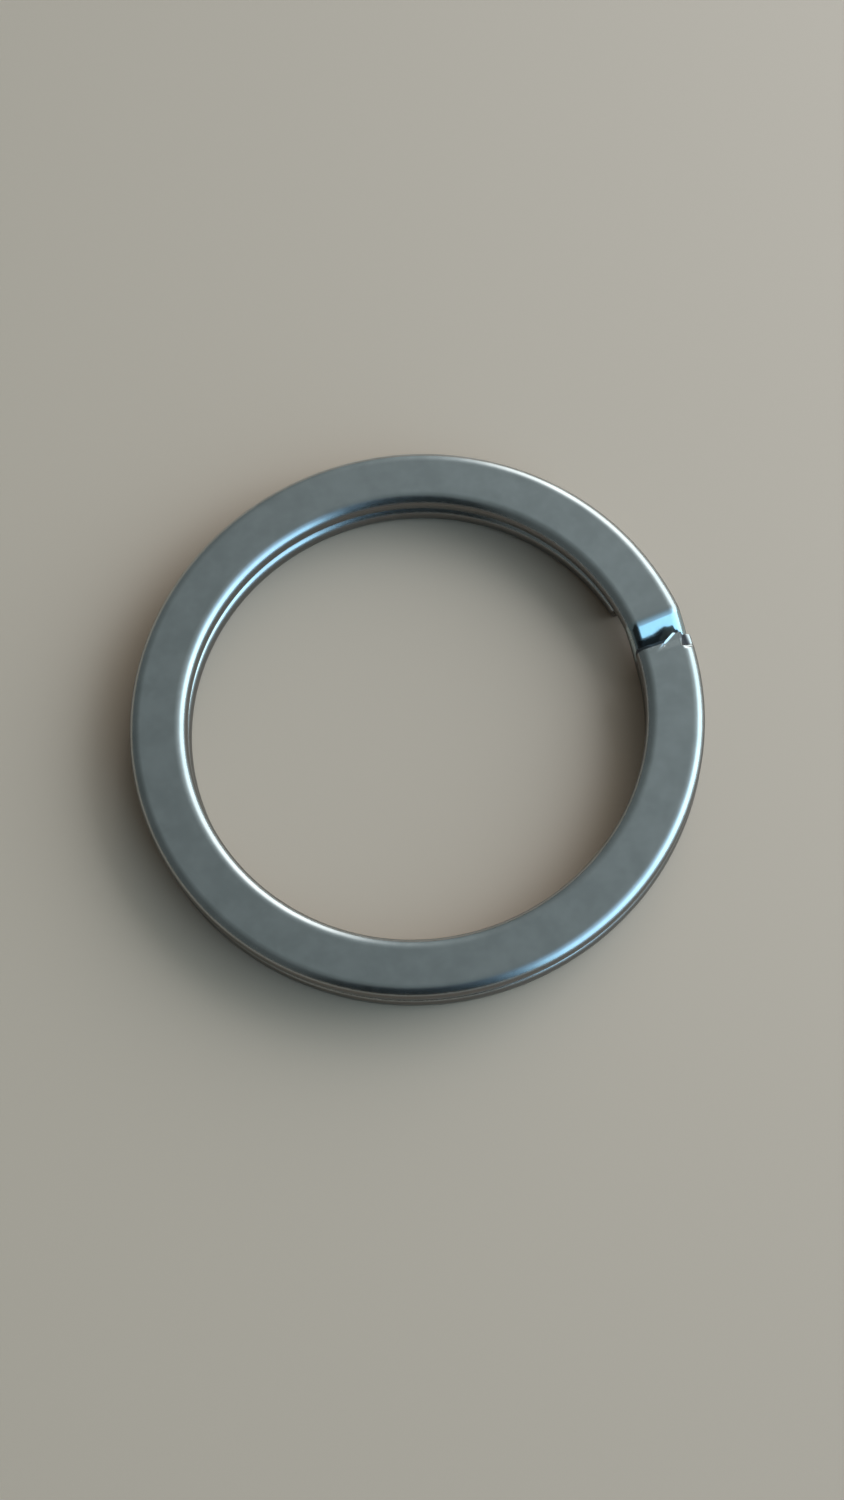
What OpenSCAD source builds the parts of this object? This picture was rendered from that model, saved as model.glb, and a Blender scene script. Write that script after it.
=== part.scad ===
// Split ring: one length of flat, round-edged spring wire, coiled twice around.
// The two turns lie flat on each other.  The wire crosses from the upper turn to
// the lower one in a short pressed ramp, the joggle, and its two cut ends sit on
// either side of it.  Origin: on the ring's axis, at the face it rests on.
// The joggle's middle is on +X, and the coil climbs anticlockwise seen from above.

/* [Ring] */
// Outside diameter
ring_d = 30; // [20:0.5:50]
// Space left between the two turns
turn_gap = 0.04; // [0.02:0.01:0.2]

/* [Wire] */
// Width of the flat wire, measured across the ring's face
wire_w = 3.05; // [2:0.05:4]
// Thickness of the wire, one turn's height
wire_t = 1.3; // [0.8:0.05:1.8]
// Radius that rounds the wire's four long edges
edge_r = 0.6; // [0.2:0.05:0.6]

/* [Joggle] */
// Slope of the ramp, in degrees
ramp_slope = 38; // [25:1:44]
// Radius on the inside of the ramp's two bends
bend_r = 0.13; // [0.11:0.01:0.5]
// How far the wire's section turns with its slope: 1 is a pure bend, 0 a pure shear
section_turn = 0.5; // [0.3:0.05:1]

/* [Upper end] */
// Space between the ramp's foot and the upper end's lower edge, along the wire
foot_gap = 0.09; // [0.05:0.01:0.5]
// How far the upper end's tip leans out over the ramp's foot
tip_overhang = 0.54; // [0.1:0.02:0.8]
// Width of the tip, left standing when the rest of the end was sheared off
tip_w = 0.43; // [0.3:0.01:1.5]
// How far the sheared part of the top edge lies behind the tip
shear_back = 0.32; // [0.1:0.01:0.6]
// Depth of the break left along the sheared part
shear_depth = 0.2; // [0.05:0.01:0.4]
// Angle between the wire's run and the slanting edge from the break to the tip
shear_angle = 60; // [30:1:70]
// Length of the step sheared down along the end's outer edge
step_l = 0.9; // [0.4:0.05:2]
// Width of the step at the tip
step_w = 0.5; // [0.1:0.02:0.8]
// How much wider the step is at its back
step_spread = 0.25; // [0.05:0.05:0.5]
// Depth of the step below the top face
step_depth = 0.3; // [0.1:0.05:0.5]

/* [Lower end] */
// Space between the ramp's top bend and the lower end, along the wire
lower_gap = 1.29; // [0.3:0.01:3]
// Bevel on the lower end's top and bottom edges
end_bevel = 0.2; // [0.05:0.05:0.35]

/* [Hidden] */

steel = [0.45, 0.46, 0.46];
$fn = 96;
arc_steps = 6;

outer_r = ring_d / 2;
inner_r = outer_r - wire_w;
// The long edges' rounding stops just short of half the wire's thickness
round_share = 0.48;
round_r = min(edge_r, round_share * wire_t);
rise = wire_t + turn_gap;
ring_h = rise + wire_t;

// The bends' radius at the middle of the wire's thickness
mid_bend_r = bend_r + section_turn * wire_t / 2;
bend_drop = mid_bend_r * (1 - cos(ramp_slope));
bend_run = mid_bend_r * sin(ramp_slope);
straight_run = (rise - 2 * bend_drop) / tan(ramp_slope);
half_run = bend_run + straight_run / 2;
straight_steps = 5;

// Places of the two cut ends along the wire, with the joggle's middle at 0
tip_y = tip_overhang - half_run;
undercut_y = -half_run - foot_gap;
lower_end_y = half_run + lower_gap;

// The joggle's ends reach this far into the turns, and its section is smaller than
// theirs by this hair all round, so that it enters their cut faces cleanly
seat_l = 0.3;
seat_hair = 0.004;

// Cutters reach this far past what they cut
over = 0.5;

// The wire's section, r across the ring and z up, centred at half its thickness
module wire_section() {
    union() {
        translate([inner_r + round_r, -wire_t / 2])
            square([wire_w - 2 * round_r, wire_t]);
        translate([inner_r, round_r - wire_t / 2])
            square([wire_w, wire_t - 2 * round_r]);
        for (r = [inner_r + round_r, outer_r - round_r], side = [-1, 1])
            translate([r, side * (wire_t / 2 - round_r)])
                circle(r = round_r, $fn = 4 * arc_steps);
    }
}

// One whole flat turn, with the middle of its thickness at height z
module full_turn(z) {
    translate([0, 0, z])
        rotate_extrude()
            wire_section();
}

// A side profile, as [y, z] points, carried from the axis out through the wire
module across_wire(profile) {
    rotate([90, 0, 90])
        linear_extrude(height = outer_r + over)
            polygon(profile);
}

// The upper turn runs from the top of the ramp around to the end beside it
module upper_turn() {
    z0 = rise - over;
    z1 = ring_h + over;
    lean = (tip_y - undercut_y) / wire_t;
    difference() {
        full_turn(rise + wire_t / 2);
        // The gap between the ramp's top and the end's leaning face
        across_wire([
            [half_run, z0],
            [half_run, z1],
            [tip_y + over * lean, z1],
            [undercut_y - over * lean, z0]
        ]);
        shear_break();
        outer_step();
    }
}

// The rough break along the inner part of the upper end's top edge, which stops at
// a slanting line beside the tip
module shear_break() {
    tip_r = outer_r - step_w - tip_w;
    y_back = tip_y - shear_back;
    translate([0, 0, ring_h - shear_depth])
        linear_extrude(height = shear_depth + over)
            polygon([
                [0, y_back],
                [tip_r - shear_back * tan(shear_angle), y_back],
                [tip_r, tip_y],
                [tip_r, tip_y + over],
                [0, tip_y + over]
            ]);
}

// The step along the outer edge of the upper end, beside the tip
module outer_step() {
    y_back = tip_y - step_l;
    translate([0, 0, ring_h - step_depth])
        linear_extrude(height = step_depth + over)
            polygon([
                [outer_r - step_w, tip_y + over],
                [outer_r - step_w, tip_y],
                [outer_r - step_w - step_spread, y_back],
                [outer_r + over, y_back],
                [outer_r + over, tip_y + over]
            ]);
}

// The lower turn runs from the foot of the ramp around to the end behind it
module lower_turn() {
    y1 = lower_end_y;
    difference() {
        full_turn(wire_t / 2);
        across_wire([
            [-half_run, -over],
            [-half_run, wire_t + over],
            [y1 + end_bevel + over, wire_t + over],
            [y1 + end_bevel, wire_t],
            [y1, wire_t - end_bevel],
            [y1, end_bevel],
            [y1 + end_bevel, 0],
            [y1 + end_bevel + over, -over]
        ]);
    }
}

// Points of the joggle's section, [r, height over the middle], anticlockwise
function joggle_section() =
    let (
        r0 = inner_r + seat_hair,
        r1 = outer_r - seat_hair,
        h = wire_t / 2 - seat_hair,
        c = round_r - seat_hair
    )
    [
        for (corner = [[r1 - c, h - c, 0], [r0 + c, h - c, 90],
                       [r0 + c, c - h, 180], [r1 - c, c - h, 270]])
            for (i = [0 : arc_steps])
                let (a = corner[2] + 90 * i / arc_steps)
                [corner[0] + c * cos(a), corner[1] + c * sin(a)]
    ];

// Stations along the joggle's middle line, [y, z, slope], from the top down
function joggle_stations() =
    let (
        z_top = rise + wire_t / 2,
        z_foot = wire_t / 2
    )
    [
        [half_run + seat_l, z_top, 0],
        for (i = [0 : arc_steps])
            let (a = ramp_slope * i / arc_steps)
            [half_run - mid_bend_r * sin(a), z_top - mid_bend_r * (1 - cos(a)), a],
        for (i = [1 : straight_steps - 1])
            let (s = i / straight_steps)
            [straight_run * (0.5 - s), z_top - bend_drop - s * (rise - 2 * bend_drop),
             ramp_slope],
        for (i = [arc_steps : -1 : 0])
            let (a = ramp_slope * i / arc_steps)
            [mid_bend_r * sin(a) - half_run, z_foot + mid_bend_r * (1 - cos(a)), a],
        [-half_run - seat_l, z_foot, 0]
    ];

// A section's point, set at a station and carried round the ring's axis
function joggle_point(station, p) =
    let (
        turn = section_turn * station[2],
        y = station[0] - p[1] * sin(turn)
    )
    [sqrt(p[0] * p[0] - y * y), y, station[1] + p[1] * cos(turn)];

// The ramp that carries the wire from the upper turn down to the lower one
module joggle() {
    section = joggle_section();
    stations = joggle_stations();
    n = len(section);
    m = len(stations);
    points = [for (s = stations, p = section) joggle_point(s, p)];
    sides = [
        for (i = [0 : m - 2], j = [0 : n - 1], half = [0, 1])
            let (
                k = (j + 1) % n,
                a = i * n + j,
                b = i * n + k,
                c = (i + 1) * n + k,
                d = (i + 1) * n + j
            )
            half == 0 ? [a, c, b] : [a, d, c]
    ];
    top_end = [for (j = [0 : n - 1]) j];
    foot_end = [for (j = [n - 1 : -1 : 0]) (m - 1) * n + j];
    polyhedron(points = points, faces = concat(sides, [top_end, foot_end]), convexity = 4);
}

module split_ring() {
    color(steel)
        union() {
            upper_turn();
            joggle();
            lower_turn();
        }
}

split_ring();
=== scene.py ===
# Split ring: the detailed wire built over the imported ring, its satin steel, a plain
# pale floor and soft light from one side.
import math

import bpy
import numpy as np
from mathutils import Matrix, Vector, noise


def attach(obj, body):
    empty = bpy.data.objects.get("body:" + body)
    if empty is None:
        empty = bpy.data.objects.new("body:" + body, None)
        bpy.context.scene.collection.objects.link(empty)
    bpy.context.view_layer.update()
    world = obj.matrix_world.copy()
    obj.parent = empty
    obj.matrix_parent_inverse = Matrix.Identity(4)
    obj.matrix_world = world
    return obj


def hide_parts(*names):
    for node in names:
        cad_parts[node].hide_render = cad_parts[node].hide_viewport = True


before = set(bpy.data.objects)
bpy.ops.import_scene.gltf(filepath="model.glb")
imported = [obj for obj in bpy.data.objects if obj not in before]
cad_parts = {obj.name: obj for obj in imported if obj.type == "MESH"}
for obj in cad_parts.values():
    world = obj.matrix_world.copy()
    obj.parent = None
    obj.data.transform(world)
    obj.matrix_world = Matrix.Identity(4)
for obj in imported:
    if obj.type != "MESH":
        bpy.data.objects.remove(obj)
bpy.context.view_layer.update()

MM = 0.001

# The ring's sizes in millimetres, as in its source
OUTER_R = 15.0
WIRE_W = 3.05
WIRE_T = 1.3
TURN_GAP = 0.04
EDGE_R = 0.6
RAMP_SLOPE = math.radians(38)
BEND_R = 0.13
SECTION_TURN = 0.5
FOOT_GAP = 0.09
TIP_OVERHANG = 0.54
TIP_W = 0.43
SHEAR_BACK = 0.32
SHEAR_ANGLE = math.radians(60)
STEP_L = 0.9
STEP_W = 0.5
STEP_SPREAD = 0.25
STEP_DEPTH = 0.3
LOWER_GAP = 1.29
END_BEVEL = 0.2

INNER_R = OUTER_R - WIRE_W
MID_R = (OUTER_R + INNER_R) / 2
HALF_T = WIRE_T / 2
RISE = WIRE_T + TURN_GAP
RING_H = RISE + WIRE_T
BEND_MID_R = BEND_R + SECTION_TURN * HALF_T
BEND_DROP = BEND_MID_R * (1 - math.cos(RAMP_SLOPE))
BEND_RUN = BEND_MID_R * math.sin(RAMP_SLOPE)
STRAIGHT_RUN = (RISE - 2 * BEND_DROP) / math.tan(RAMP_SLOPE)
HALF_RUN = BEND_RUN + STRAIGHT_RUN / 2
TIP_Y = TIP_OVERHANG - HALF_RUN
TIP_X = OUTER_R - STEP_W - TIP_W
LEAN = (TIP_OVERHANG + FOOT_GAP) / WIRE_T
LOWER_END_Y = HALF_RUN + LOWER_GAP

# The ramp's folds lie a little askew: they are further round on the outer side
FOLD_SKEW = math.tan(math.radians(3.5))

# Marks of the upper end's shearing. The break slopes away from its back edge, which lies
# a little behind the source's
BREAK_SLOPE = 1.1
BREAK_EDGE = 0.07

# The tip is pressed down to a facet beside the slanting edge
FACET_DEPTH = 0.085
FACET_W = 0.11
FACET_L = 0.8
FACET_FADE = 0.45

# The step's ledge is rounded: its width, how far its foot lies above the start of the
# wire's own corner, and how far its inner end lies below the source's step. The step is
# made over a short length, and its wall keeps a least width
LEDGE_W = 0.42
LEDGE_FOOT = 0.02
LEDGE_FALL = 0.04
STEP_START = 0.12
LEAST_WALL = 0.05

# How far behind the break the section's lines begin to slide aside, and over what length
SLIDE_START = 0.67
SLIDE_L = 0.6

# A bright nick lies where the whole edge begins again
NICK_X = 14.36
NICK_SLOPE = 0.62
NICK_FRONT_Y = -1.27
NICK_BACK_Y = -1.6

# The burnished face of the ramp, smoother, with a bluish painted highlight tint: its height
# above the wire's middle, how far above and below that it reaches, how far short of the
# joggle's ends it stops, and how softly
BURNISHED_LIFT = 0.61
BURNISHED_HALF = 0.35
BURNISHED_SHORT = 0.12
BURNISHED_FADE = 0.2

# How far the rims of the lower and the upper end are worn in
LOWER_RIM = 0.05
UPPER_RIM = 0.03

# Where the lower and the upper end's own rows give way to the plain turns
JOIN_LOW_Y = 4.2
JOIN_UP_Y = -2.6

# How far from the joggle's middle the wire's rows stay parallel, and from where on they
# stand square to the wire; and where the skew of the folds begins to fade, and has gone
PARALLEL_TO = 3.0
SQUARE_FROM = 5.5
SKEW_TO = 1.2
SKEW_GONE = 2.5

# The studio's light. Azimuths are degrees from +X towards +Y. A patch of light or shade
# reaches half its width either side of where it is at, with an edge so soft, and fades
# out between two elevations
WINDOW_AT = -6
WINDOW_HALF = 70
WINDOW_SOFT = 4
WINDOW_FADE = (30, 54)
HAZE_AT = -46
HAZE_HALF = 36
HAZE_SOFT = 7
HAZE_FADE = (50, 84)
HAZE_COLOUR = (0.40, 0.67, 0.96)
WINDOW_LIGHT = 2.35
WINDOW_COLOURS = [
    (-68, (0.30, 0.64, 0.83)),
    (-58, (0.24, 0.44, 0.66)),
    (-36, (0.37, 0.62, 0.78)),
    (-8, (0.62, 0.88, 0.97)),
    (24, (0.60, 0.74, 0.80)),
    (48, (0.80, 0.82, 0.82)),
]
GLOW_AT = 20
GLOW_LIFT = 20
GLOW_FALL = 2.7
GLOW_MOST = 0.55
GLOW_COLOUR = (0.64, 0.74, 0.78)
ROOM_COLOUR = (0.179, 0.209, 0.212)
SCREEN_AT = -108
SCREEN_HALF = 34
SCREEN_SOFT = 8
SCREEN_FADE = (58, 86)
SCREEN_DARK = 0.88
SHADE_AT = 178
SHADE_HALF = 50
SHADE_SOFT = 25
SHADE_FADE = (45, 80)
SHADE_DARK = 0.4
BACKDROP_COLOUR = (0.45, 0.46, 0.45)
LAMP_POWER = 0.262
LAMP_COLOUR = (0.62, 0.775, 1.0)
LAMP_SIZE = (0.15, 0.12)
LAMP_AWAY = 0.17
LAMP_LIFT = math.radians(27)
LAMP_AT = math.radians(4)
FLOOR_COLOUR = (0.53, 0.398, 0.295)
FLOOR_HALF = 6000.0
FLOOR_DROP = 0.01

# The photo's camera, in millimetres
EYE = (-5.8747, -39.1206, 112.3556)
FORWARD = (0.04808, 0.31951, -0.94636)
UP = (0.32626, 0.89047, 0.31721)
LENS = 54.0

# The steel. Where it faces upwards enough, it is mottled between two colours. On the
# sides and in the groove it is rougher, and darker and browner: a painted shade
FACING_UP_FROM = (0.42, 0.68)
MOTTLE_SCALE = 700
SATIN_SCALE = 2500
FACE_DARK = (0.42, 0.44, 0.437)
FACE_LIGHT = (0.475, 0.495, 0.492)
# Painted shade on the sides and in the groove
SHADED_SIDE_COLOUR = (0.215, 0.2, 0.187)
# Painted shade on the sheared break and on the step beside the tip
TORN_AND_SHADED_COLOUR = (0.09, 0.09, 0.10)
# A bluish painted highlight tint on the ramp's burnished face
BURNISHED_HIGHLIGHT_COLOUR = (0.41, 0.48, 0.49)
FACE_ROUGHNESS = (0.24, 0.27)
SIDE_ROUGHER = 0.12
TORN_AND_SHADED_ROUGHER = 0.1
BURNISHED_ROUGHER = -0.09

# How finely the wire's section is drawn: segments to a corner, a flat and a side
CORNER_N = 9
FLAT_N = 36
SIDE_N = 2

# How finely the wire's run is drawn: rows to a bend, to the ramp's straight and to an
# end's face, and the steps along the turns, within NEAR of the joggle's ends and, growing
# longer, away from the two cut ends
BEND_N = 16
STRAIGHT_N = 36
CAP_ROWS = 18
TURN_STEP = math.radians(1.25)
FINE_STEP = TURN_STEP / 6
NEAR = 0.5
RIM_STEP = 0.012
STEP_GROWTH = 1.25
LOWER_STEP = 0.16
UPPER_STEP = 0.04


# ---------------------------------------------------------------- the wire's section

def section_lines():
    """The section's points, anticlockwise from the outer side's top: for each its kind,
    and how far along that stretch it lies."""
    lines = []
    for kind, count, first in (
        ("top_out", CORNER_N, 0), ("top", FLAT_N, 1), ("top_in", CORNER_N, 0),
        ("side_in", SIDE_N, 1), ("low_in", CORNER_N, 0), ("low", FLAT_N, 1),
        ("low_out", CORNER_N, 0), ("side_out", SIDE_N, 1),
    ):
        last = count if first == 0 else count - 1
        lines += [(kind, i / count) for i in range(first, last + 1)]
    return lines


LINES = section_lines()
KIND = np.array([kind for kind, _ in LINES])
SHARE = np.array([share for _, share in LINES])


def section():
    """r from the wire's middle, height from its middle, and the inward direction of each
    of the section's lines."""
    half_w = WIRE_W / 2
    mid_r = half_w - EDGE_R
    mid_h = HALF_T - EDGE_R
    # The direction of each line: round a corner it turns through a quarter
    quarter = math.pi / 2
    first = [("top_out", 0), ("top", 1), ("top_in", 1), ("side_in", 2), ("low_in", 2),
             ("low", 3), ("low_out", 3), ("side_out", 4)]
    turning = np.char.find(KIND, "_") > 0
    turning = turning & (np.char.find(KIND, "side") < 0)
    start = np.select([KIND == name for name, _ in first], [n for _, n in first])
    a = quarter * (start + SHARE * turning)
    on_top = np.char.find(KIND, "top") == 0
    outer = np.char.find(KIND, "out") > 0
    corner_r = np.select([KIND == "top", KIND == "low", outer],
                         [mid_r * (1 - 2 * SHARE), mid_r * (2 * SHARE - 1), mid_r + 0 * SHARE],
                         -mid_r)
    corner_h = np.select([KIND == "side_in", KIND == "side_out", on_top],
                         [mid_h * (1 - 2 * SHARE), mid_h * (2 * SHARE - 1), mid_h + 0 * SHARE],
                         -mid_h)
    r = corner_r + EDGE_R * np.cos(a)
    h = corner_h + EDGE_R * np.sin(a)
    return r, h, -np.cos(a), -np.sin(a)


def smooth(x):
    x = np.clip(x, 0, 1)
    return x * x * (3 - 2 * x)


def rough(points, size, seed):
    """Smooth noise, about -1 to 1, at each of the points, with lumps of that size."""
    flat = np.asarray(points, float).reshape(-1, 3) / size + seed
    values = [noise.noise(Vector(p)) for p in flat]
    return np.array(values).reshape(np.shape(points)[:-1])


# ---------------------------------------------------------------- the wire's run

def turn_angles(start, stop, step):
    count = max(2, int(math.ceil(abs(stop - start) / step)))
    return np.linspace(start, stop, count + 1)


def place(y, theta, r):
    """x and y of points at radius r. Near the joggle the sections are parallel, at y.
    Further round they turn to stand square to the wire, at the angle theta."""
    parallel = np.arcsin(np.clip(y / r, -1, 1))
    theta = np.arctan2(np.sin(theta), np.cos(theta))
    away = smooth((np.abs(y) - PARALLEL_TO) / (SQUARE_FROM - PARALLEL_TO))
    off_side = np.cos(theta) < 0.3
    angle = np.where(off_side, theta, parallel * (1 - away) + theta * away)
    return r * np.cos(angle), r * np.sin(angle)


def skewed(x, y, z):
    """Rows near the joggle, slid along the wire by the skew of the ramp's folds."""
    near = smooth((SKEW_GONE - np.abs(y)) / (SKEW_GONE - SKEW_TO)) * (x > 0)
    return x, y + FOLD_SKEW * (np.hypot(x, y) - MID_R) * near, z


def plain_rows(angles, mid_z):
    """Rows of the flat turns at these angles, in radians from the joggle's middle."""
    r, h, _, _ = section()
    theta = angles[:, None]
    x, y = place(MID_R * np.sin(theta), theta, MID_R + r[None, :])
    z = mid_z + h[None, :] + 0 * x
    return x, y, z


def joggle_rows():
    """Rows from the foot of the ramp up to its top."""
    r, h, _, _ = section()
    stations = []
    for i in range(1, BEND_N + 1):
        a = RAMP_SLOPE * i / BEND_N
        stations.append((-HALF_RUN + BEND_MID_R * math.sin(a),
                         HALF_T + BEND_MID_R * (1 - math.cos(a)), a))
    for i in range(1, STRAIGHT_N):
        s = i / STRAIGHT_N
        stations.append((STRAIGHT_RUN * (s - 0.5),
                         HALF_T + BEND_DROP + s * (RISE - 2 * BEND_DROP), RAMP_SLOPE))
    for i in range(BEND_N, 0, -1):
        a = RAMP_SLOPE * i / BEND_N
        stations.append((HALF_RUN - BEND_MID_R * math.sin(a),
                         RISE + HALF_T - BEND_MID_R * (1 - math.cos(a)), a))
    y0, z0, slope = (np.array(v)[:, None] for v in zip(*stations))
    turn = SECTION_TURN * slope
    y = y0 - h[None, :] * np.sin(turn)
    z = z0 + h[None, :] * np.cos(turn)
    x = np.sqrt((MID_R + r[None, :]) ** 2 - y * y)
    return x, y, z


def rim_inset(from_end, size):
    """How far the rim is worn in, at a distance from the cut end."""
    d = np.clip(1 - from_end / size, 0, 1)
    return size * (1 - np.sqrt(np.clip(1 - d * d, 0, 1)))


def end_steps(length, longest):
    """Shares of the way to a cut end, closer together towards it."""
    places, d, step = [0.0], 0.0, RIM_STEP
    while d < length:
        d += step
        step = min(step * STEP_GROWTH, longest)
        places.append(min(d, length))
    return 1 - np.array(places[::-1]) / length


def lower_face(h):
    """The lower end's y at heights h from the wire's middle, with its rounded bevels."""
    over = np.clip(np.abs(h) - (HALF_T - END_BEVEL), 0, END_BEVEL)
    return LOWER_END_Y + END_BEVEL - np.sqrt(END_BEVEL ** 2 - over ** 2)


def upper_face(z):
    """The upper end's y at heights z: it is undercut, and leans out over the ramp."""
    return TIP_Y - (RING_H - z) * LEAN


def lower_end_rows(join_y):
    """Rows from the lower end's rim to where the plain lower turn takes over."""
    r, h, in_r, in_h = section()
    share = end_steps(join_y - LOWER_END_Y, LOWER_STEP)[::-1]
    end_y = lower_face(h)
    y = join_y + (end_y - join_y)[None, :] * share[:, None]
    inset = rim_inset(np.abs(y - end_y), LOWER_RIM)
    radius = MID_R + r + in_r * inset
    z = HALF_T + h + in_h * inset
    return np.sqrt(radius ** 2 - y * y), y, z


def step_edge(y):
    """The radius of the step's edge on the flat, at y."""
    return OUTER_R - STEP_W - STEP_SPREAD * (TIP_Y - y) / STEP_L


def past_slant(x, y):
    """How far x and y lie beyond the slanting edge, on the tip's side of it."""
    return (x - TIP_X) * math.cos(SHEAR_ANGLE) - (y - TIP_Y) * math.sin(SHEAR_ANGLE)


def stepped(y):
    """The section's lines in the step beside the tip, as r and height from the wire's
    middle, the flat's outer edge, and how far the step is made at y: from 0 to 1."""
    foot = OUTER_R - LEDGE_W - MID_R
    edge = np.minimum(step_edge(y) - MID_R, foot - LEAST_WALL)
    low, high = HALF_T - EDGE_R + LEDGE_FOOT, HALF_T - STEP_DEPTH - LEDGE_FALL
    # The corner's lines go up the rounded ledge, then up the wall to the step's edge
    quarter = math.pi / 2 * np.clip(SHARE * 1.5, 0, 1)
    up = np.clip(SHARE * 3 - 2, 0, 1)
    corner_r = foot + (WIRE_W / 2 - foot) * np.cos(quarter) + (edge - foot) * up
    corner_h = low + (high - low) * np.sin(quarter) + (HALF_T - high) * up
    made = smooth((y - (TIP_Y - STEP_L)) / STEP_START)
    return corner_r, corner_h, edge, made


def slant_slide(y, edge):
    """How far to slide the top's lines, so that one runs along the slanting edge. edge is
    the r of the flat's outer edge."""
    edge_y = np.clip(y, TIP_Y - SHEAR_BACK - BREAK_EDGE, TIP_Y)
    edge_x = TIP_X - (TIP_Y - edge_y) * math.tan(SHEAR_ANGLE)
    share = (edge - np.hypot(edge_x, edge_y) + MID_R) / (edge + WIRE_W / 2 - EDGE_R)
    return (share - 1 / 3) * smooth((y - (TIP_Y - SHEAR_BACK - SLIDE_START)) / SLIDE_L)


def slid_share(slide):
    """The top's lines' shares, with the one a third of the way over slid by so much."""
    third = 1 / 3
    return np.where(SHARE < third, SHARE * (1 + slide / third),
                    1 - (1 - SHARE) * (1 - slide / (1 - third)))


def lost_height(x, y):
    """How far the upper end's top is broken away or pressed down, at x and y."""
    spot = np.stack([x, y, 0 * x], -1)
    across = past_slant(x, y)
    back = TIP_Y - SHEAR_BACK - BREAK_EDGE + 0.03 * rough(spot * (1, 0.2, 1), 0.25, 3.1)
    depth = BREAK_SLOPE * np.clip(y - back, 0, 0.4) * (1 + 0.15 * rough(spot, 0.4, 7.7))
    depth = depth + 0.012 * rough(spot, 0.1, 12.3) * smooth((y - back) / 0.1)
    broken = np.maximum(depth, 0) * smooth(-across / 0.02)
    # Beside the slanting edge, which stays as a ridge, the tip is pressed down
    recovery = smooth((y - (TIP_Y - FACET_L)) / FACET_FADE)
    pressed = FACET_DEPTH * np.clip(across / FACET_W, 0, 1) * recovery
    nick = NICK_SLOPE * np.clip(x - NICK_X, 0, None)
    nick = nick * smooth((y - NICK_BACK_Y) / 0.2) * smooth((NICK_FRONT_Y - y) / 0.08)
    return np.maximum.reduce([broken, pressed, nick])


def torn_and_shaded_share(points):
    """1 where the shearing tore the steel at the break, and on the step beside the tip: both
    get a dark painted shade. 0 elsewhere.
    """
    x, y, z = points.T
    broken = smooth((y - (TIP_Y - SHEAR_BACK - 0.08)) / 0.06)
    broken = broken * smooth(-past_slant(x, y) / 0.03)
    # The step's wall and inner ledge get the same dark colour, a painted shade over their
    # highlights
    foot_x = OUTER_R - LEDGE_W
    step = smooth((x - step_edge(y) + 0.05) / 0.04) * smooth((foot_x + 0.22 - x) / 0.08)
    step = step * smooth((y - (TIP_Y - STEP_L + 0.06)) / 0.06)
    here = (z > 2.05) & (x > 0) & (y < TIP_Y + 0.01) & (y > -1.5)
    return np.maximum(broken, step) * here


def burnished_highlight_share(points):
    """1 on the ramp's upper face, which the pressing of the joggle left smooth; it gets a
    painted highlight.
    """
    x, y, z = points.T
    face_z = RING_H / 2 + BURNISHED_LIFT + y * math.tan(RAMP_SLOPE)
    along = smooth((HALF_RUN - BURNISHED_SHORT - np.abs(y)) / BURNISHED_FADE)
    return along * smooth((BURNISHED_HALF - np.abs(z - face_z)) / 0.1) * (x > 0)


def upper_point(y, inset):
    """x and z of the section's lines at y near the upper end."""
    r, h, in_r, in_h = section()
    corner_r, corner_h, edge, made = stepped(y)
    inner = WIRE_W / 2 - EDGE_R
    edge = inner + (edge - inner) * made
    share = slid_share(slant_slide(y, edge))
    r = np.where(KIND == "top", edge - (edge + inner) * share, r)
    r = np.where(KIND == "top_out", r + (corner_r - r) * made, r)
    h = np.where(KIND == "top_out", h + (corner_h - h) * made, h)
    radius = MID_R + r + in_r * inset
    x = np.sqrt(radius ** 2 - y * y)
    z = RISE + HALF_T + h + in_h * inset
    upper = (KIND == "top") | (KIND == "top_in") | (KIND == "top_out")
    ceiling = np.maximum(RING_H - lost_height(x, y), RISE + HALF_T + 0.04)
    return x, np.where(upper, np.minimum(z, ceiling - 0.3 * inset), z)


def upper_end_rows(join_y):
    """Rows from the plain upper turn to the upper end's rim."""
    share = end_steps(TIP_Y - join_y, UPPER_STEP)
    # Where each line meets the leaning end depends on its height there: settle on both
    end_y = np.full(len(LINES), TIP_Y)
    for _ in range(12):
        _, z = upper_point(end_y, 0.0)
        end_y = upper_face(z)
    y = join_y + (end_y - join_y)[None, :] * share[:, None]
    inset = rim_inset(np.abs(end_y - y), UPPER_RIM)
    x, z = upper_point(y, inset)
    return x, y, z


# ---------------------------------------------------------------- building the mesh

def chains():
    """The section's lines over its top and along its bottom, both from the middle of the
    outer side to the middle of the inner side."""
    index = {name: np.flatnonzero(KIND == name) for name in set(KIND)}
    mid_out = [index["side_out"][SIDE_N // 2 - 1]]
    mid_in = [index["side_in"][SIDE_N // 2 - 1]]
    top = list(index["top_out"]) + list(index["top"]) + list(index["top_in"])
    low = list(index["low_in"]) + list(index["low"]) + list(index["low_out"])
    return mid_out + top + mid_in, mid_out + low[::-1] + mid_in


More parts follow.
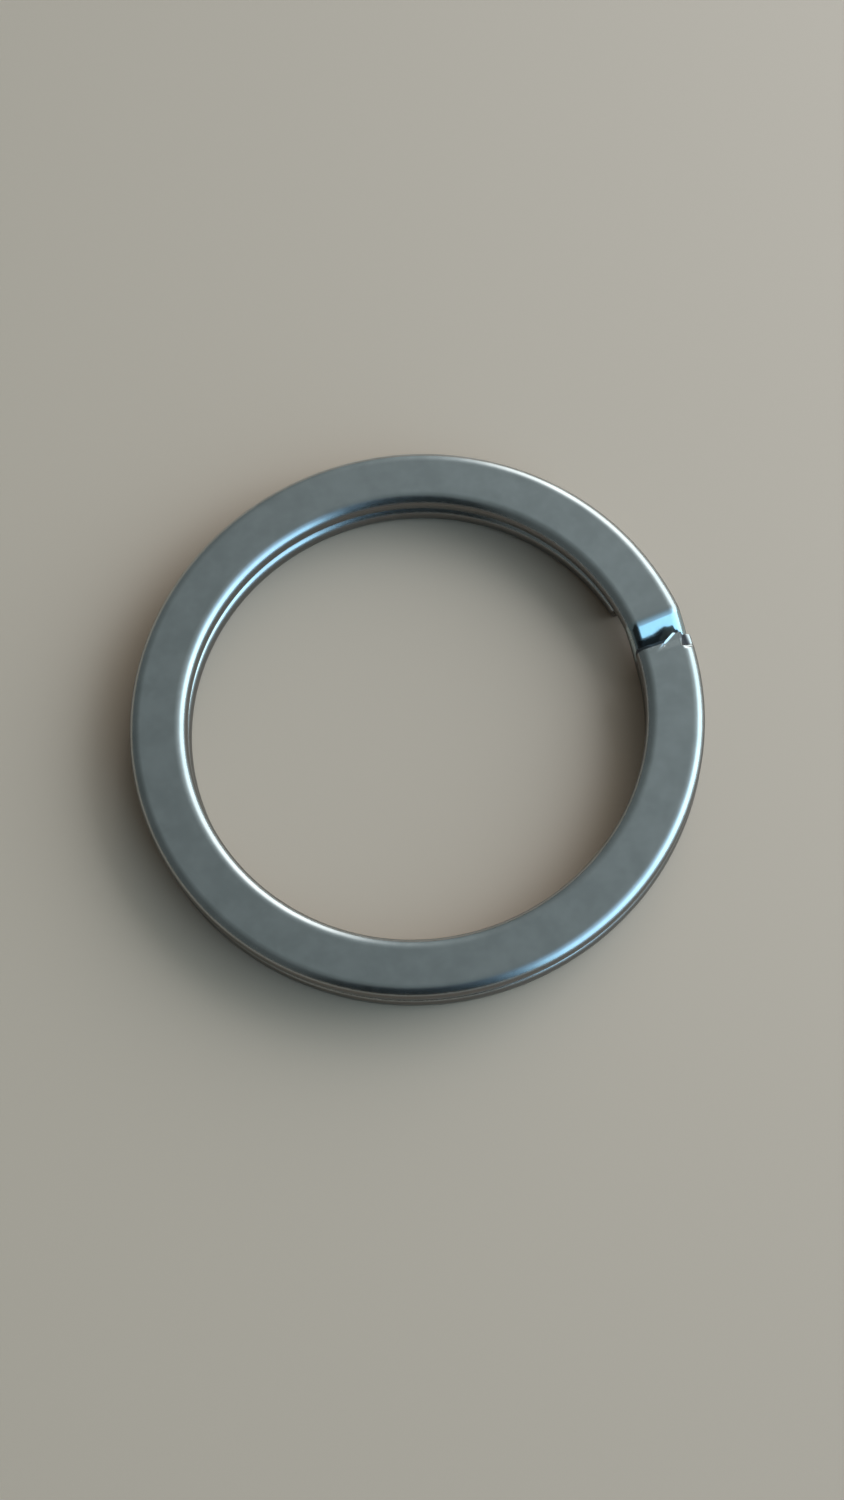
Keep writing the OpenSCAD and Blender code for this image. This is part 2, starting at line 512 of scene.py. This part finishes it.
def cap(points, faces, row, first, end_y, inward, seed, flip):
    """Close the wire at its row of points, first being its first index, with a face as
    rough as a sheared one. end_y gives the end's y at each height."""
    top, low = chains()
    grid = np.zeros((CAP_ROWS + 1, len(top)), int)
    grid[0] = [first + i for i in top]
    grid[CAP_ROWS] = [first + i for i in low]
    for j in range(1, CAP_ROWS):
        s = j / CAP_ROWS
        for i, (a, b) in enumerate(zip(top, low)):
            if a == b:
                grid[j, i] = first + a
                continue
            p = row[a] * (1 - s) + row[b] * s
            p[1] = end_y(p[2])
            depth = min(s, 1 - s) * np.linalg.norm(row[a] - row[b])
            streaks = noise.noise(Vector((p[0] / 0.09, seed, p[2] / 0.5)))
            lumps = noise.noise(Vector((p[0] / 0.3, seed + 5, p[2] / 0.25)))
            p[1] += inward * min(depth / 0.1, 1) * (0.025 + 0.012 * streaks + 0.02 * lumps)
            grid[j, i] = len(points)
            points.append(p)
    for j in range(CAP_ROWS):
        for i in range(len(top) - 1):
            face = [grid[j, i], grid[j, i + 1], grid[j + 1, i + 1], grid[j + 1, i]]
            face = [v for k, v in enumerate(face) if v not in face[:k]]
            if len(face) > 2:
                faces.append(face[::-1] if flip else face)


def ring_mesh():
    """The wire's points, in millimetres, and its faces."""
    ramp_end = math.asin(HALF_RUN / MID_R)
    near = math.asin((HALF_RUN + NEAR) / MID_R)
    low_join = math.asin(JOIN_LOW_Y / MID_R)
    up_join = math.asin(JOIN_UP_Y / MID_R)
    full = 2 * math.pi
    upper_mid = RISE + HALF_T
    low = plain_rows(turn_angles(low_join, full - near, TURN_STEP), HALF_T)
    foot = plain_rows(turn_angles(-near, -ramp_end, FINE_STEP)[1:], HALF_T)
    ramp = joggle_rows()
    head = plain_rows(turn_angles(ramp_end, near, FINE_STEP)[1:], upper_mid)
    up = plain_rows(turn_angles(near, full + up_join, TURN_STEP)[1:], upper_mid)
    start = lower_end_rows(JOIN_LOW_Y)
    end = upper_end_rows(JOIN_UP_Y)
    blocks = [start, skewed(*(v[1:] for v in low)), skewed(*foot), skewed(*ramp),
              skewed(*head), skewed(*up), [v[1:] for v in end]]
    x, y, z = (np.concatenate([b[i] for b in blocks]) for i in range(3))
    rows = np.stack([x, y, z], -1)
    m, n = rows.shape[:2]
    points = [p for p in rows.reshape(-1, 3)]
    faces = []
    for i in range(m - 1):
        for j in range(n):
            k = (j + 1) % n
            faces.append([i * n + j, (i + 1) * n + j, (i + 1) * n + k, i * n + k])

    cap(points, faces, rows[0], 0, lambda z: lower_face(z - HALF_T), 1.0, 2.5, False)
    cap(points, faces, rows[-1], (m - 1) * n, upper_face, -1.0, 8.5, True)
    return np.array(points), faces


def make_ring():
    points, faces = ring_mesh()
    mesh = bpy.data.meshes.new("wire")
    mesh.from_pydata([tuple(p * MM) for p in points], [], [tuple(f) for f in faces])
    mesh.update()
    for name, share in (("torn_and_shaded", torn_and_shaded_share), ("burnished_highlight", burnished_highlight_share)):
        attribute = mesh.attributes.new(name, "FLOAT", "POINT")
        attribute.data.foreach_set("value", share(points).astype(np.float32))
    ring = bpy.data.objects.new("wire", mesh)
    bpy.context.collection.objects.link(ring)
    mesh.shade_smooth()
    mesh.set_sharp_from_angle(angle=math.radians(32))
    return ring


# ---------------------------------------------------------------- materials

def set_inputs(tree, node, inputs):
    """Set a node's inputs, given by name or number, to values or other nodes' outputs."""
    for key, value in inputs.items():
        socket = node.inputs[key]
        if isinstance(value, bpy.types.NodeSocket):
            tree.links.new(value, socket)
        elif socket.type == "RGBA":
            socket.default_value = (*value, 1)
        else:
            socket.default_value = value


def add_node(tree, kind, inputs, **settings):
    """The outputs of a new node with these inputs and settings."""
    node = tree.nodes.new(kind)
    for name, value in settings.items():
        setattr(node, name, value)
    set_inputs(tree, node, inputs)
    return node.outputs


def maths_node(tree, operation, *inputs):
    """The output of a maths node with these inputs."""
    made = add_node(tree, "ShaderNodeMath", dict(enumerate(inputs)), operation=operation)
    return made["Value"]


def smooth_node(tree, value, low, high, to_low, to_high):
    """to_low where the value is at low or under it, to_high at high, smoothly between."""
    inputs = {"Value": value, "From Min": low, "From Max": high,
              "To Min": to_low, "To Max": to_high}
    made = add_node(tree, "ShaderNodeMapRange", inputs, interpolation_type="SMOOTHSTEP")
    return made["Result"]


def mix_node(tree, factor, one, other):
    """The mix of two colours, which are a mix node's inputs 6 and 7, and its output 2."""
    inputs = {"Factor": factor, 6: one, 7: other}
    return add_node(tree, "ShaderNodeMix", inputs, data_type="RGBA")[2]


def new_material(name):
    material = bpy.data.materials.new(name)
    material.use_nodes = True
    tree = material.node_tree
    return material, tree, tree.nodes["Principled BSDF"]


def steel_material():
    material, tree, shader = new_material("satin_steel")
    coords = add_node(tree, "ShaderNodeTexCoord", {})

    def noise_node(scale, detail):
        inputs = {"Vector": coords["Object"], "Scale": scale, "Detail": detail,
                  "Roughness": 0.6}
        return add_node(tree, "ShaderNodeTexNoise", inputs)["Fac"]

    def attribute(name):
        return add_node(tree, "ShaderNodeAttribute", {}, attribute_name=name)["Fac"]

    # Upward faces are mottled; the sides and groove are rougher and get a brown painted shade
    normal = add_node(tree, "ShaderNodeSeparateXYZ", {"Vector": coords["Normal"]})
    facing_up = smooth_node(tree, normal["Z"], *FACING_UP_FROM, 0.0, 1.0)
    mottle = smooth_node(tree, noise_node(MOTTLE_SCALE, 4), 0.3, 0.7, 0.0, 1.0)
    face = mix_node(tree, mottle, FACE_DARK, FACE_LIGHT)
    side_shaded = mix_node(tree, facing_up, SHADED_SIDE_COLOUR, face)
    torn_and_shaded, burnished_highlight = attribute("torn_and_shaded"), attribute("burnished_highlight")
    # The ramp's burnished face gets a bluish tint, a painted highlight
    whole = mix_node(tree, burnished_highlight, side_shaded, BURNISHED_HIGHLIGHT_COLOUR)
    # The sheared break and the step beside the tip get a dark painted shade
    colour = mix_node(tree, torn_and_shaded, whole, TORN_AND_SHADED_COLOUR)

    roughness = smooth_node(tree, noise_node(SATIN_SCALE, 3), 0.3, 0.7, *FACE_ROUGHNESS)
    dull = maths_node(tree, "MULTIPLY_ADD", facing_up, -SIDE_ROUGHER, SIDE_ROUGHER)
    roughness = maths_node(tree, "ADD", roughness, dull)
    for share, rougher in ((torn_and_shaded, TORN_AND_SHADED_ROUGHER), (burnished_highlight, BURNISHED_ROUGHER)):
        roughness = maths_node(tree, "MULTIPLY_ADD", share, rougher, roughness)
    set_inputs(tree, shader, {"Metallic": 1.0, "Base Color": colour, "Roughness": roughness})
    return material


def floor_material():
    material, tree, shader = new_material("pale_floor")
    set_inputs(tree, shader, {"Base Color": FLOOR_COLOUR, "Roughness": 0.6,
                              "Specular IOR Level": 0.25})
    return material


# ---------------------------------------------------------------- floor, light, camera

def make_floor():
    mesh = bpy.data.meshes.new("floor")
    half, z = FLOOR_HALF * MM, -FLOOR_DROP * MM
    corners = [(-half, -half, z), (half, -half, z), (half, half, z), (-half, half, z)]
    mesh.from_pydata(corners, [], [(0, 1, 2, 3)])
    floor = bpy.data.objects.new("floor", mesh)
    bpy.context.collection.objects.link(floor)
    mesh.materials.append(floor_material())


def towards(lift, round_):
    """The direction at that elevation and azimuth, both in radians."""
    flat = math.cos(lift)
    return Vector((flat * math.cos(round_), flat * math.sin(round_), math.sin(lift)))


def make_world():
    """A plain studio: dim all round, with a broad soft window low on one side that is
    cooler towards one end, its glow on the walls, and a dark screen towards the viewer."""
    world = bpy.data.worlds.new("studio")
    bpy.context.scene.world = world
    world.use_nodes = True
    tree = world.node_tree
    direction = add_node(tree, "ShaderNodeTexCoord", {})["Generated"]

    def maths(operation, *inputs):
        return maths_node(tree, operation, *inputs)

    def vector_maths(operation, inputs):
        return add_node(tree, "ShaderNodeVectorMath", inputs, operation=operation)

    def added(one, other):
        return vector_maths("ADD", {0: one, 1: other})["Vector"]

    def scaled(colour, factor):
        return vector_maths("SCALE", {0: colour, "Scale": factor})["Vector"]

    def fade(value, start, stop):
        """1 at start and 0 at stop, in degrees, smoothly between."""
        return smooth_node(tree, value, math.radians(start), math.radians(stop), 1.0, 0.0)

    def azimuth_from(degrees):
        """The direction's azimuth, counted from one that is given."""
        inputs = {"Vector": direction, "Angle": math.radians(-degrees)}
        turned = add_node(tree, "ShaderNodeVectorRotate", inputs, rotation_type="Z_AXIS")
        split = add_node(tree, "ShaderNodeSeparateXYZ", {"Vector": turned["Vector"]})
        return maths("ARCTAN2", split["Y"], split["X"])

    height = add_node(tree, "ShaderNodeSeparateXYZ", {"Vector": direction})["Z"]
    elevation = maths("ARCSINE", height)

    def patch(at, half, soft, fading):
        """1 in the patch about that azimuth, 0 outside it."""
        aside = maths("ABSOLUTE", azimuth_from(at))
        across = fade(aside, half - soft, half + soft)
        return maths("MULTIPLY", across, fade(elevation, *fading))

    # The window's colour along its width, bluish at its end near the viewer. At the other
    # end the ramp keeps its own white stop
    ramp = tree.nodes.new("ShaderNodeValToRGB")
    elements = ramp.color_ramp.elements
    elements.remove(elements[0])
    for at, colour in WINDOW_COLOURS:
        elements.new((at + 90) / 180).color = (*colour, 1)
    share = maths("MULTIPLY_ADD", azimuth_from(WINDOW_AT), 1 / math.pi, 0.5)
    set_inputs(tree, ramp, {"Fac": share})
    shape = patch(WINDOW_AT, WINDOW_HALF, WINDOW_SOFT, WINDOW_FADE)
    window = scaled(ramp.outputs["Color"], maths("MULTIPLY", shape, WINDOW_LIGHT))

    # A bluish haze over the window's end near the viewer
    haze = scaled(HAZE_COLOUR, patch(HAZE_AT, HAZE_HALF, HAZE_SOFT, HAZE_FADE))

    # The window's glow on the walls and ceiling
    centre = towards(math.radians(GLOW_LIFT), math.radians(GLOW_AT))
    facing = vector_maths("DOT_PRODUCT", {0: direction, 1: centre})["Value"]
    near = maths("POWER", maths("MAXIMUM", facing, 0.0), GLOW_FALL)
    glow = scaled(GLOW_COLOUR, maths("MINIMUM", near, GLOW_MOST))

    # The dark screen, with the viewer behind it, and the shade away from the window
    lit = added(glow, ROOM_COLOUR)
    for shape, dark in (
        (patch(SCREEN_AT, SCREEN_HALF, SCREEN_SOFT, SCREEN_FADE), SCREEN_DARK),
        (patch(SHADE_AT, SHADE_HALF, SHADE_SOFT, SHADE_FADE), SHADE_DARK),
    ):
        lit = scaled(lit, maths("SUBTRACT", 1.0, maths("MULTIPLY", shape, dark)))

    # Past the floor's edge the camera sees a plain pale backdrop
    seen = add_node(tree, "ShaderNodeLightPath", {})["Is Camera Ray"]
    shown = mix_node(tree, seen, added(added(lit, haze), window), BACKDROP_COLOUR)
    set_inputs(tree, tree.nodes["Background"], {"Color": shown, "Strength": 1.0})


def make_lamp():
    """A soft lamp beside the window, which the metal doesn't show."""
    data = bpy.data.lights.new("soft_lamp", "AREA")
    data.shape = "RECTANGLE"
    data.size, data.size_y = LAMP_SIZE
    data.energy = LAMP_POWER
    data.color = LAMP_COLOUR
    lamp = bpy.data.objects.new("soft_lamp", data)
    out = towards(LAMP_LIFT, LAMP_AT)
    lamp.location = out * LAMP_AWAY
    lamp.rotation_euler = out.to_track_quat("Z", "Y").to_euler()
    lamp.visible_glossy = False
    lamp.visible_camera = False
    bpy.context.collection.objects.link(lamp)


def make_camera():
    forward = Vector(FORWARD).normalized()
    right = forward.cross(Vector(UP)).normalized()
    up = right.cross(forward)
    data = bpy.data.cameras.new("camera")
    data.lens = LENS
    data.sensor_width = 36.0
    data.sensor_fit = "AUTO"
    data.clip_start = 0.001
    data.clip_end = 100.0
    camera = bpy.data.objects.new("camera", data)
    turn = Matrix((right, up, -forward)).transposed()
    camera.matrix_world = Matrix.Translation(Vector(EYE) * MM) @ turn.to_4x4()
    bpy.context.collection.objects.link(camera)
    bpy.context.scene.camera = camera


ring = make_ring()
ring.data.materials.append(steel_material())
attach(ring, "root")
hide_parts("split_ring")

make_floor()
make_world()
make_lamp()
make_camera()
bpy.context.scene.view_settings.view_transform = "Standard"
